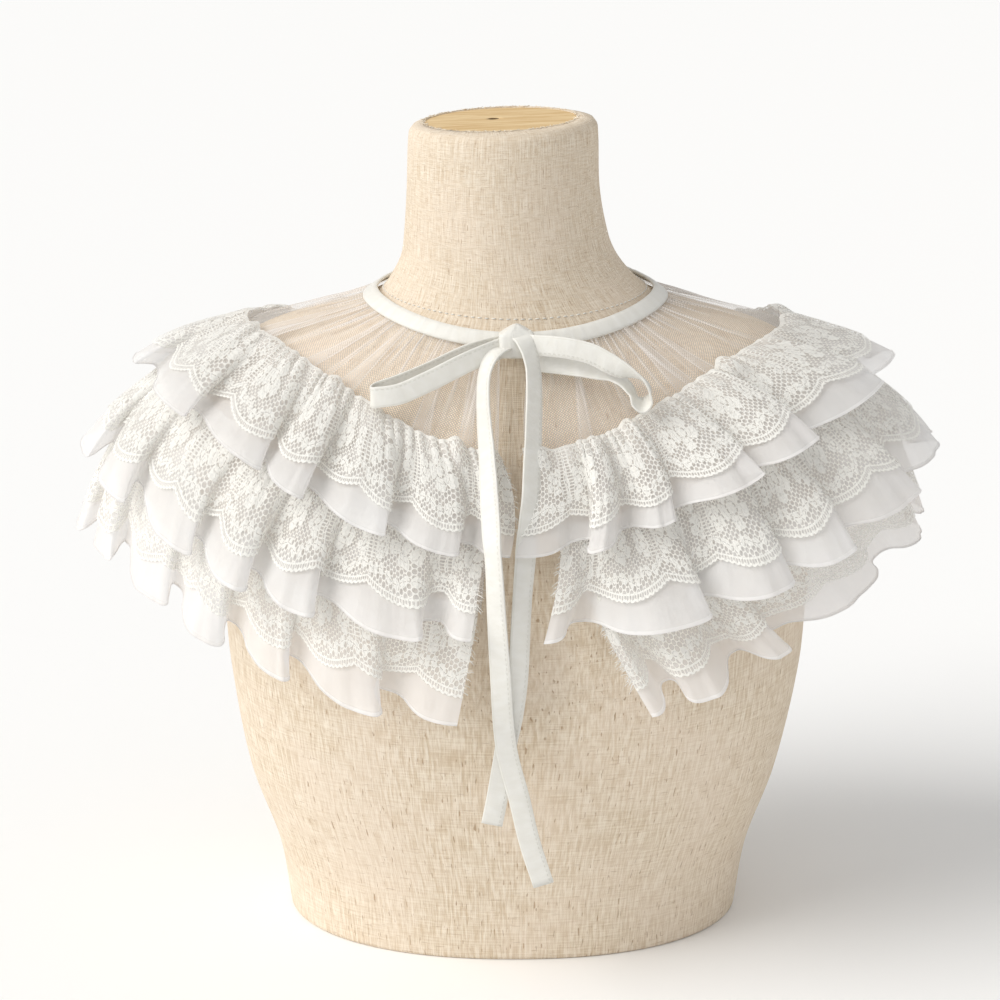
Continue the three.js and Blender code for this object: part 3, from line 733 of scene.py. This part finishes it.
def build_rim_frays(linen_thread):
    """Threads that have worked loose from the linen's raw edge round the wooden cap."""
    rng = np.random.default_rng(23)
    paths = []
    for angle in np.sort(rng.uniform(0, TAU, 190)):
        out = cap_circle(angle)
        across = np.array([-out[1], out[0]])
        long = rng.uniform(1.2, 4.5)
        aim = unit(out * rng.normal(-0.15, 0.5) + across * rng.choice([-1, 1]))
        edge = CAP_CENTRE + out * CAP_HALVES + out * rng.uniform(-0.5, 0.7)
        way = np.linspace(-0.5, 0.5, 5)[:, None]
        xy = edge + aim * long * way + out * rng.uniform(-1.2, 0.6) * (2 * way) ** 2
        paths.append(on_cap(xy, 0.42 + rng.uniform(0, 0.5) * (2 * way[:, 0]) ** 2))
    declare(tubes("linen_rim_frays", paths, 0.16, 5, linen_thread))


def cap_circle(angle):
    return np.stack([np.sin(angle), -np.cos(angle)], -1)


def cap_height(points):
    tilt = TILT_X * (points[..., 0] - CAP["x"]) + TILT_Y * (points[..., 1] - CAP["y"])
    return FORM["z_side"][0] + CAP["proud"] + tilt


def on_cap(xy, rise):
    """Points at a height over the cap's top."""
    return np.column_stack([xy, cap_height(xy) + rise])


def build_cap(wood):
    """A disc with a softened edge and a bored hole, whose wall is painted dark as shade."""
    segments = 96
    top = 0.96  # share of the radius at which the flat top ends
    circle = cap_circle(TAU * np.arange(segments) / segments)
    profile = [(1.0, -3.6), (1.0, -0.9), (0.994, -0.35), (0.982, -0.05), (top, 0.0)]
    profile += [(share, 0.0) for share in (0.8, 0.6, 0.4, 0.2)]
    hole = CAP_CENTRE + [CAP_HOLE["x"], CAP_HOLE["y"]]
    rings = []
    for share, rise in profile:
        edge = CAP_CENTRE + circle * CAP_HALVES * (share if share >= top else share / top)
        bore_painted_dark = hole + circle * CAP_HOLE["radius"]
        rings.append(on_cap(lerp(edge, bore_painted_dark, smoothstep(top, 0.2, share)), rise))
    for rise in (-0.4, -3.3):
        rings.append(on_cap(hole + circle * CAP_HOLE["radius"] * 0.96, rise))
    rows = len(rings)
    faces = [face[::-1] for face in shell_faces(segments, rows, "columns")]
    piece = new_object("neck_cap", np.stack(rings, 1), faces, wood)
    # Weight for the painted shade in the hole: its last two rings, down the wall, and the flat bottom that
    # closes them.
    set_weight(piece, "bore_painted_dark", down_columns(np.arange(rows) >= rows - 2, segments))
    declare(piece, "form_neck_cap")


def build_neck_stitches(satin):
    """The form's neck seam: a row of small stitches just above the collar."""
    count = 118
    level = np.full(3, STITCH_LEVEL)
    paths = []
    for k in range(count):
        angle = TAU * (k + np.array([-0.24, 0.0, 0.24])) / count
        paths.append(stand_off(form_point, angle, level, 0.004, 0.2, [0.05, 0.4, 0.05]))
    declare(tubes("neck_seam_stitches", paths, 0.32, 6, satin))


# ---- Yoke and binding ----
def yoke_point(share, down):
    right = angle_at(between(YOKE_EDGE, down, "right"), down)
    left = TAU + angle_at(between(YOKE_EDGE, down, "left"), down)
    return cape_point(lerp(right, left, turn(share)), down)


def build_yoke(net):
    """Tulle gathered into the neck: doubled folds, crisp at their edges, run out from the binding."""
    columns, rows = 1400, 34
    across, down = np.linspace(0, 1, columns), np.linspace(0.2, YOKE_DEPTH, rows)
    share, down = np.meshgrid(across, down, indexing="ij")
    rng = np.random.default_rng(5)
    fold = np.zeros_like(share)
    edges = np.zeros_like(share)
    lift = np.full_like(share, 0.5)
    for k in range(YOKE_FOLDS):
        middle = (k + rng.uniform(-0.45, 0.45)) / YOKE_FOLDS
        drift = rng.normal(0, 0.006)
        broad = rng.random() < 0.24
        reach = rng.choice([75, 115] if broad else [18, 34, 58]) * rng.uniform(0.8, 1.25)
        half = rng.uniform(0.004, 0.0095) if broad else rng.uniform(0.001, 0.0028)
        half = half * (0.3 + 0.7 * np.minimum(down / 60, 1.2))
        at = (share - middle - drift * down / 60) / half
        edge_mm = (np.abs(at) - 1) * half * HEM_WAY[-1]
        fade = smoothstep(reach, reach * 0.3, down) * rng.uniform(0.5, 1.0)
        fold += fade * smoothstep(1.15, 0.9, np.abs(at)) * (1.3 if broad else 0.9)
        edges += fade * np.exp(-(edge_mm / 0.7) ** 2)
        lift += 0.9 * fade * np.exp(-at * at) * smoothstep(85, 10, down)
    selvedge = np.maximum(smoothstep(0.004, 0, share), smoothstep(0.996, 1, share))
    points = stand_off(yoke_point, share, down, 0.0015, 0.2, np.minimum(lift, 3.2))
    piece = cloth_grid("tulle_yoke", points, share * HEM_WAY[-1], down, net)
    set_weight(piece, "fold", np.clip(0.34 * fold + 0.72 * edges + 0.8 * selvedge, 0, 1.3))
    declare(piece, "net_yoke")


# The binding's section: distance down the cape and height over it, from its top round by the outside.
BINDING_SECTION = [
    (-9.5, 0.0), (-9.6, 0.8), (-9.2, 1.5), (-7.0, 1.9), (-4.7, 2.05), (-2.4, 1.95), (-1.0, 1.75),
    (-0.35, 1.35), (0.0, 0.8), (-0.2, 0.1), (-4.7, -0.1),
]
NECK_SEAM = 470


def build_binding(satin):
    """A folded bias strip round the neck edge, a little fuller in the middle."""
    columns, rows = 300, len(BINDING_SECTION)
    share = np.linspace(0, 1, columns)

    def ring(s, down):
        return cape_point(lerp(angle_at(2.5, down), TAU + angle_at(-2.0, down), turn(s)), down)

    grid = []
    for down, lift in BINDING_SECTION:
        pucker = 0.12 * wander(share * 320, 1.0) * (lift > 1)
        grid.append(stand_off(ring, share, np.full(columns, down), 0.002, 0.2, lift + pucker - 0.2))
    piece = new_object("bias_binding", np.stack(grid, 1), shell_faces(columns, rows, "rows"), satin)
    set_uv(piece, down_columns(np.linspace(-5, 5, rows), columns), across_rows(share * NECK_SEAM, rows))
    declare(piece, "neck_binding")


# ---- Ruffled tiers ----
# A fold's section is a meander: the cloth's direction swings from side to side as a sine of the way
# along it. These tables hold its place along and its height for a range of swings.
SWINGS = np.linspace(0.02, 1.9, 48)
FOLD_WAY = np.linspace(0, 1, 193)
CREST_BREADTH = 0.5  # from 0, a crest like the valley, to 1, a broad crest over a narrow valley
PANEL_FLATNESS = 1.0  # from 0, evenly rounded, upwards: flatter panels with crisper bends between them


def meander_tables():
    middle = (FOLD_WAY[1:] + FOLD_WAY[:-1]) / 2
    phase = TAU * middle + CREST_BREADTH * np.sin(TAU * middle)
    direction = SWINGS[:, None] * (np.sin(phase) * np.abs(np.sin(phase)) ** PANEL_FLATNESS)[None]
    start = np.zeros((len(SWINGS), 1))
    along = np.concatenate([start, np.cumsum(np.cos(direction), 1)], 1)
    height = np.concatenate([start, np.cumsum(np.sin(direction), 1)], 1)
    return along / along[:, -1:], height / height.max(1, keepdims=True)


MEANDER_ALONG, MEANDER_HEIGHT = meander_tables()


def look_up(values, swing, way):
    """Bilinear look-up in a meander table, for arrays of swings and ways along the fold."""
    row = np.clip((swing - SWINGS[0]) / (SWINGS[1] - SWINGS[0]), 0, len(SWINGS) - 1.001)
    column = np.clip(way * (len(FOLD_WAY) - 1), 0, len(FOLD_WAY) - 1.001)
    i, j = row.astype(int), column.astype(int)
    a, b = row - i, column - j
    low = values[i, j] * (1 - b) + values[i, j + 1] * b
    high = values[i + 1, j] * (1 - b) + values[i + 1, j + 1] * b
    return low * (1 - a) + high * a


def fold_table(name, tier):
    """A row for each of a tier's folds, from the right front edge round to the left one."""
    rng = np.random.default_rng(17 + int(name))
    right, left = np.array(RIGHT_FOLDS[name], float), np.array(LEFT_FOLDS[name], float)[::-1]
    count = tier["folds"] - len(right) - len(left)
    hem_way = way_round(tier["seam"] + ORGANZA_DEPTH)[-1]
    width = rng.uniform(0.7, 1.3, count)
    width *= (hem_way - right[:, 0].sum() - left[:, 0].sum()) / width.sum()
    hidden = np.column_stack([
        width, rng.uniform(0.85, 1.3, count), rng.uniform(1.25, 1.6, count), rng.normal(16, 4, count),
    ])
    rows = np.concatenate([right, hidden, left])
    rows[[0, -1], 0] *= 2  # the half folds at the front edges
    folds = dict(zip(FOLD_COLUMNS.split(), rows.T))
    folds["start"] = np.cumsum(folds["width"]) - folds["width"] - right[0, 0]
    folds["late"] = rng.uniform(0.75, 1.3, len(rows))  # how late it opens, as a share of the tier's power
    folds["hem_way"] = hem_way
    return folds


def gathers(tier, turns, depth):
    """Sharp little pleats at the seam, uneven in length, that die out down the cloth, from 0 to 1."""
    seed = tier["seed"]
    pleat = 1 - np.abs(np.sin(np.pi * 4.4 * turns + 2.0 * wander(turns * 2.1, seed)))
    reach = 10 + 16 * wander(turns * 3.3, seed + 1) ** 2
    return pleat * np.exp(-np.maximum(depth, 0) / reach) * smoothstep(-2, 3, depth)


def tier_surface(tier, folds, turns, depth, fill=0.0):
    """A tier's cloth: turns counts its folds, and depth is the distance below its seam. fill lifts
    cloth that lies over the valleys."""
    t = depth / ORGANZA_DEPTH
    opened = np.maximum(t, 0) ** tier["open"]
    seed = tier["seed"]
    fold = np.clip(np.floor(turns).astype(int), 0, len(folds["width"]) - 1)
    way = turns - fold
    swing = folds["swing"][fold] * (0.25 + 0.75 * opened)
    crest = look_up(MEANDER_HEIGHT, swing, way)
    along = folds["start"][fold] + folds["width"][fold] * look_up(MEANDER_ALONG, swing, way)
    ends = np.clip(np.minimum(along, folds["hem_way"] - along) / 45, 0, 1)
    along = along + ends * opened * (folds["lean"][fold] * crest + 4 * wander(turns * 0.8, seed))
    placed = turn(along / folds["hem_way"])

    angle = TAU * placed
    corner_share = np.where(np.cos(angle) > 0, np.sin(2 * angle) ** 2, 0)
    corner = lerp(tier["corner_seam"], tier["corner_hem"], t) * corner_share
    puff = wander(turns * 2.6, seed + 9) ** 2  # small puffs at the seam, and over it
    heading = 2.4 * puff * np.exp(-depth / 8)
    down = tier["seam"] + depth + corner - VALLEY_LIFT * opened * (1 - crest) - heading
    right = angle_at(bowed(tier["right_seam"], tier["right_middle"], tier["right_hem"], t), down)
    left = TAU + angle_at(bowed(tier["left_seam"], tier["left_middle"], tier["left_hem"], t), down)

    sideways_on = np.sin(angle) ** 2
    opened_here = np.maximum(t, 0) ** (tier["open"] * folds["late"][fold])
    rise = lerp(SEAM_RISE, tier["rise"] * folds["tall"][fold] * lerp(1, SIDE_RISE, sideways_on), opened_here)
    valley = lerp(SEAM_VALLEY, tier["valley"] + 1.8 * wander(turns * 0.7, seed + 3), opened)
    flutter = opened ** 2 * (1.1 * wander(turns * 8, seed + 2) + 2.4 * wander(turns * 1.9, seed + 6) * t * t)
    out = valley + rise * crest + 2.3 * gathers(tier, turns, depth) + flutter + fill * opened * (1 - crest)
    out = out + 2.2 * puff * np.exp(-((depth - 5) / 6) ** 2)
    point = stand_off(cape_point, lerp(right, left, placed), down, 0.004, 0.2, out)
    point[..., 2] -= lerp(SAG, SIDE_SAG, sideways_on) * rise * crest * opened
    return point


def grid_normals(points):
    """Outward normals of a grid whose columns run round from +X by the front and whose rows run down."""
    along = np.gradient(points, axis=0)
    down = np.gradient(points, axis=1)
    return -unit(np.cross(along, down))


# How many loose threads each tier's raw lace edges have, on the right and on the left.
FRAYS = {"1": (14, 22), "2": (26, 30), "3": (85, 24)}


def build_frays(name, lace_points, thread):
    """Short threads that stand out of the raw front edges of a tier's lace."""
    rng = np.random.default_rng(40 + int(name))
    rows = lace_points.shape[1]
    paths = []
    for (edge, inner), count in zip(((0, 2), (-1, -3)), FRAYS[name]):
        for _ in range(count):
            row = rng.integers(2, rows - 1)
            start = lerp(lace_points[edge, row], lace_points[edge, row - 1], rng.random())
            out = unit(lace_points[edge, row] - lace_points[inner, row])
            down = unit(lace_points[edge, row] - lace_points[edge, row - 1])
            long = rng.uniform(1.0, 4.2) * (0.5 + 0.5 * row / rows)
            aim = unit(out + down * rng.uniform(-0.2, 1.0) + rng.normal(0, 0.25, 3))
            droop = np.array([0, 0, -0.25 * long])
            way = np.linspace(-0.15, 1, 5)[:, None]
            paths.append(start + aim * long * way + droop * np.maximum(way, 0) ** 2)
    piece = tubes("lace_frays_" + name, paths, 0.11, 4, thread)
    declare(piece)
    return piece


COLUMNS_PER_FOLD = 36
TIER_MESH_ROWS = 30
FRONT_MARGIN = 0.502  # share of the first and the last fold that the front edges cut off


def build_tier(name, tier, organza, lace, thread):
    folds = fold_table(name, tier)
    turns = np.linspace(FRONT_MARGIN, tier["folds"] - FRONT_MARGIN, COLUMNS_PER_FOLD * tier["folds"])
    share = np.linspace(0, 1, TIER_MESH_ROWS)
    turns, depth = np.meshgrid(turns, ORGANZA_DEPTH * share, indexing="ij")
    points = tier_surface(tier, folds, turns, depth)
    way = way_along(points[:, -1])
    hem_length = way[-1]
    piece = cloth_grid("organza_flounce_" + name, points, across_rows(way, TIER_MESH_ROWS), depth, organza)
    declare(piece, "organza_tier_" + name)
    hem = tubes("organza_hem_" + name, [points[:, -1] + grid_normals(points)[:, -1] * 0.1], 0.22, 6, organza)
    set_uv(hem, np.zeros(len(hem.data.vertices)), np.full(len(hem.data.vertices), ORGANZA_DEPTH))
    declare(hem)

    # The lace lies on the organza, a little looser, down to its own scalloped edge.
    scallops = round(hem_length / SCALLOP_REPEAT) * way / hem_length
    dip = SCALLOP_DEPTH * (1 - np.abs(np.cos(np.pi * scallops)))
    lace_depth = (LACE_DEPTH - dip)[:, None] * share
    lace_points = tier_surface(tier, folds, turns, lace_depth, fill=LACE_FILL)
    loose = LACE_GAP + 0.5 * wander(turns * 3.1, tier["seed"] + 5) * smoothstep(0, 30, lace_depth)
    lace_points = lace_points + grid_normals(lace_points) * loose[..., None]
    u = across_rows(scallops * SCALLOP_REPEAT, TIER_MESH_ROWS)
    lace_piece = cloth_grid("lace_flounce_" + name, lace_points, u, lace_depth, lace)
    set_weight(lace_piece, "gather", gathers(tier, turns, lace_depth))
    declare(lace_piece, "lace_tier_" + name)
    frays = build_frays(name, lace_points, thread)


# ---- Bow ----
# Points along the middle of each ribbon, from the knot outwards, in millimetres. The last column
# is the angle of the ribbon's width from upright (loops) or sideways (tails) to the viewer.
KNOT = np.array([0.2, -77.8, 323.8])
LOOP_LEFT = np.array([
    (-6, -75.6, 322, 0), (-23, -79.5, 318, 0), (-42.5, -82.5, 309.5, 0), (-59, -84.5, 303, 0),
    (-68, -85, 300, 0), (-70.5, -86.5, 299, 0), (-71.5, -88.5, 298.5, 0), (-70.5, -91, 298.5, 0),
    (-67.5, -92, 299, 0), (-58, -92.5, 300.5, 0), (-42.5, -91, 307, 0), (-23, -87, 316, 0),
    (-6, -79.2, 321.5, 0),
])
LOOP_RIGHT = np.array([
    (6, -79, 315, 0), (22.5, -81, 313, -34), (32.5, -83.5, 311.5, -52), (40.5, -85, 310, -60),
    (47, -86, 309, -64), (52.5, -88, 306, -66), (56.5, -89, 301.5, -60), (59, -90, 296.5, -56),
    (62.5, -90.5, 294.5, -56), (66, -91, 298, -62), (65.5, -91.5, 303, -78), (62.5, -92, 307.5, -96),
    (57, -93, 310.5, -122), (51.5, -93.5, 313, -154), (45, -93, 316.5, -176), (36.5, -91, 320.5, -180),
    (23, -88, 323, -180), (7, -82, 323, -180),
])
TAIL_LEFT = np.array([
    (-5.5, -80.5, 321.5, 25), (-9, -84, 321, 42), (-12.8, -88, 317.5, 56), (-15.6, -92, 310.5, 60),
    (-16.3, -96.5, 301, 58), (-15.8, -101.5, 289, 52), (-14.8, -107, 278, 48), (-14, -114, 267.5, 47),
    (-13.3, -124.5, 257.5, 46), (-12.5, -136, 248, 44), (-11.8, -145, 238.5, 42), (-10.8, -148, 226.5, 40),
    (-9.5, -148.5, 201.5, 30), (-8, -148.5, 177.5, 18), (-5, -148.5, 137, 4), (1.5, -148.5, 110, 0),
    (6.5, -149, 88, 0), (13.5, -149.5, 65.5, 0),
])
TAIL_RIGHT = np.array([
    (2.6, -82.0, 328.3, 4), (4.5, -84.6, 325.9, -22), (6.6, -86.8, 320.5, -42), (8.2, -89.2, 313, -50),
    (8.8, -93, 304.5, -46), (8.6, -98.5, 290, -42), (8.1, -104, 275.5, -41), (7.6, -110, 266.5, -40),
    (7.1, -116.5, 257, -40), (6.4, -121.5, 249, -38), (5.8, -126, 243.5, -32), (5, -130, 237.5, -25),
    (4.5, -133.5, 232.5, -22), (4, -137.5, 226, -24), (3, -142, 215, -28), (2, -145.5, 198.5, -26),
    (0.5, -146.5, 170.5, -16), (-2, -146.5, 152, -8), (-4.5, -146.5, 140, 0), (-7.5, -146.5, 121.5, 0),
    (-9.5, -147, 109.5, 0), (-12, -147.5, 96.5, 0),
])


def upright(turned):
    return np.stack([np.zeros_like(turned), -np.sin(turned), np.cos(turned)], -1)


def sideways(turned):
    return np.stack([np.cos(turned), -np.sin(turned), np.zeros_like(turned)], -1)


def smooth_path(rows, steps):
    """Points of a centripetal Catmull-Rom curve through the rows, with the last column kept linear."""
    points = rows[:, :3]
    ends = [2 * points[0] - points[1], *points, 2 * points[-1] - points[-2]]

    def slope(a, b, c, gap_ab, gap_bc):
        return (b - a) / gap_ab - (c - a) / (gap_ab + gap_bc) + (c - b) / gap_bc

    path, turned = [], []
    for i in range(len(points) - 1):
        p = ends[i:i + 4]
        gaps = [np.linalg.norm(p[k + 1] - p[k]) ** 0.5 for k in range(3)]
        slope_1 = slope(*p[:3], *gaps[:2]) * gaps[1]
        slope_2 = slope(*p[1:], *gaps[1:]) * gaps[1]
        for t in np.arange(steps + (i == len(points) - 2)) / steps:
            h = (2 * t**3 - 3 * t**2 + 1, t**3 - 2 * t**2 + t, 3 * t**2 - 2 * t**3, t**3 - t**2)
            path.append(h[0] * p[1] + h[1] * slope_1 + h[2] * p[2] + h[3] * slope_2)
            turned.append(lerp(rows[i, 3], rows[i + 1, 3], t))
    return np.array(path), np.radians(turned)


# A folded bias ribbon's section: the share of its half width, and of its half thickness on each face.
RIBBON_HALF_SECTION = [(1, 0.35), (0.985, 0.8), (0.95, 1), (0.7, 0.95), (0.35, 0.8), (0, 0.72)]
RIBBON_SECTION = RIBBON_HALF_SECTION + [(-w, f) for w, f in RIBBON_HALF_SECTION[-2::-1]]
RIBBON_BOW = 0.3  # how far its middle bows out
RIBBON_STEPS = 7  # mesh steps between two points of a path


def ribbon(name, rows, flat, material):
    path, turned = smooth_path(rows, RIBBON_STEPS)
    along = unit(np.gradient(path, axis=0))
    width = flat(turned)
    width = unit(width - along * (width * along).sum(-1, keepdims=True))
    face = np.cross(along, width)
    section = [(w * RIBBON_WIDTH / 2, f * RIBBON_WALL / 2) for w, f in RIBBON_SECTION]
    section += [(w, -f) for w, f in section[::-1]]
    way = way_along(path)
    slack = RIBBON_BOW + 0.3 * wander(way / 9.0, float(len(rows)))
    ring = np.stack([
        path + width * w + face * (f + slack * (1 - (2 * w / RIBBON_WIDTH) ** 2))[:, None] for w, f in section
    ], 1)
    columns, count = ring.shape[:2]
    piece = new_object(name, ring, shell_faces(columns, count, "rows"), material)
    set_uv(piece, down_columns([w for w, _ in section], columns), across_rows(way, count))
    return piece, path, way[-1]


def build_bow(satin):
    for side, rows in (("left", LOOP_LEFT), ("right", LOOP_RIGHT)):
        piece, _, way = ribbon("ribbon_loop_" + side, rows, upright, satin)
        declare(piece, "bow_loop_" + side)
        way * MM
    for side, rows in (("left", TAIL_LEFT), ("right", TAIL_RIGHT)):
        piece, path, way = ribbon("ribbon_tail_" + side, rows, sideways, satin)
        declare(piece, "tie_tail_" + side)
        tuple(path[0] * MM)
        way * MM
        (path * MM).tolist()


# The knot's levels: half its width and half its depth, from its peak to its flat lower edge.
KNOT_LEVELS = table("down across deep", [
    (-9, 0.6, 1.4), (-8.3, 2.2, 2.8), (-6.2, 5.6, 4.2), (-4.4, 8.2, 5.1), (-3.4, 8.8, 5.4), (1, 8.6, 5.7),
    (5.6, 8.2, 5.5), (7.2, 7.8, 5.0), (7.6, 7.0, 4.2),
])
KNOT_SQUARENESS = 0.32  # power of its section: 1 is round, and 0 is square


def build_knot(satin):
    """The ribbon wrapped round the middle of the bow: one half lies over the other, along a crease."""
    columns, rows = 120, 56
    peak, foot = KNOT_LEVELS["down"][[0, -1]]
    angle = TAU * np.arange(columns) / columns
    angle, down = np.meshgrid(angle, np.linspace(peak, foot, rows), indexing="ij")
    across, ahead = np.sin(angle), np.cos(angle)
    x = np.sign(across) * np.abs(across) ** KNOT_SQUARENESS
    y = np.sign(ahead) * np.abs(ahead) ** KNOT_SQUARENESS
    crease = 0.12 + 0.006 * down  # share of the half width at which the upper half ends
    over = smoothstep(crease + 0.04, crease - 0.02, x) * 1.1 - smoothstep(crease, -1.0, x) * 0.7
    folds = 0.1 * np.sin(x * 7.0 + down * 0.15 + 1.0) - 0.5 * smoothstep(crease, 1.0, x)
    front = smoothstep(0.0, 0.5, ahead) * smoothstep(peak, -6, down) * smoothstep(foot, 6.6, down)
    deep = between(KNOT_LEVELS, down, "deep") + front * (over + folds)
    points = KNOT + np.stack([between(KNOT_LEVELS, down, "across") * x, -deep * y, -down], -1)
    piece = new_object("ribbon_knot", points, shell_faces(columns, rows, "columns"), satin)
    set_uv(piece, down * 0.4, angle * 7)
    declare(piece, "bow_knot")


# ---- Assembly ----
add_camera()
add_studio()
SATIN = satin_material()
build_bow(SATIN)
build_knot(SATIN)
LINEN = linen_material()
build_form(LINEN)
build_cap(wood_material())
build_rim_frays(thread_material("linen_thread", (0.74, 0.62, 0.46), (0.93, 0.86, 0.74)))
build_neck_stitches(SATIN)
build_yoke(net_material())
build_binding(SATIN)
ORGANZA = organza_material()
LACE = lace_material()
LACE_THREAD = thread_material("lace_thread", (0.90, 0.885, 0.84), (0.955, 0.95, 0.92))
for tier_name, values in TIERS.items():
    build_tier(tier_name, dict(zip(TIER_COLUMNS, values)), ORGANZA, LACE, LACE_THREAD)
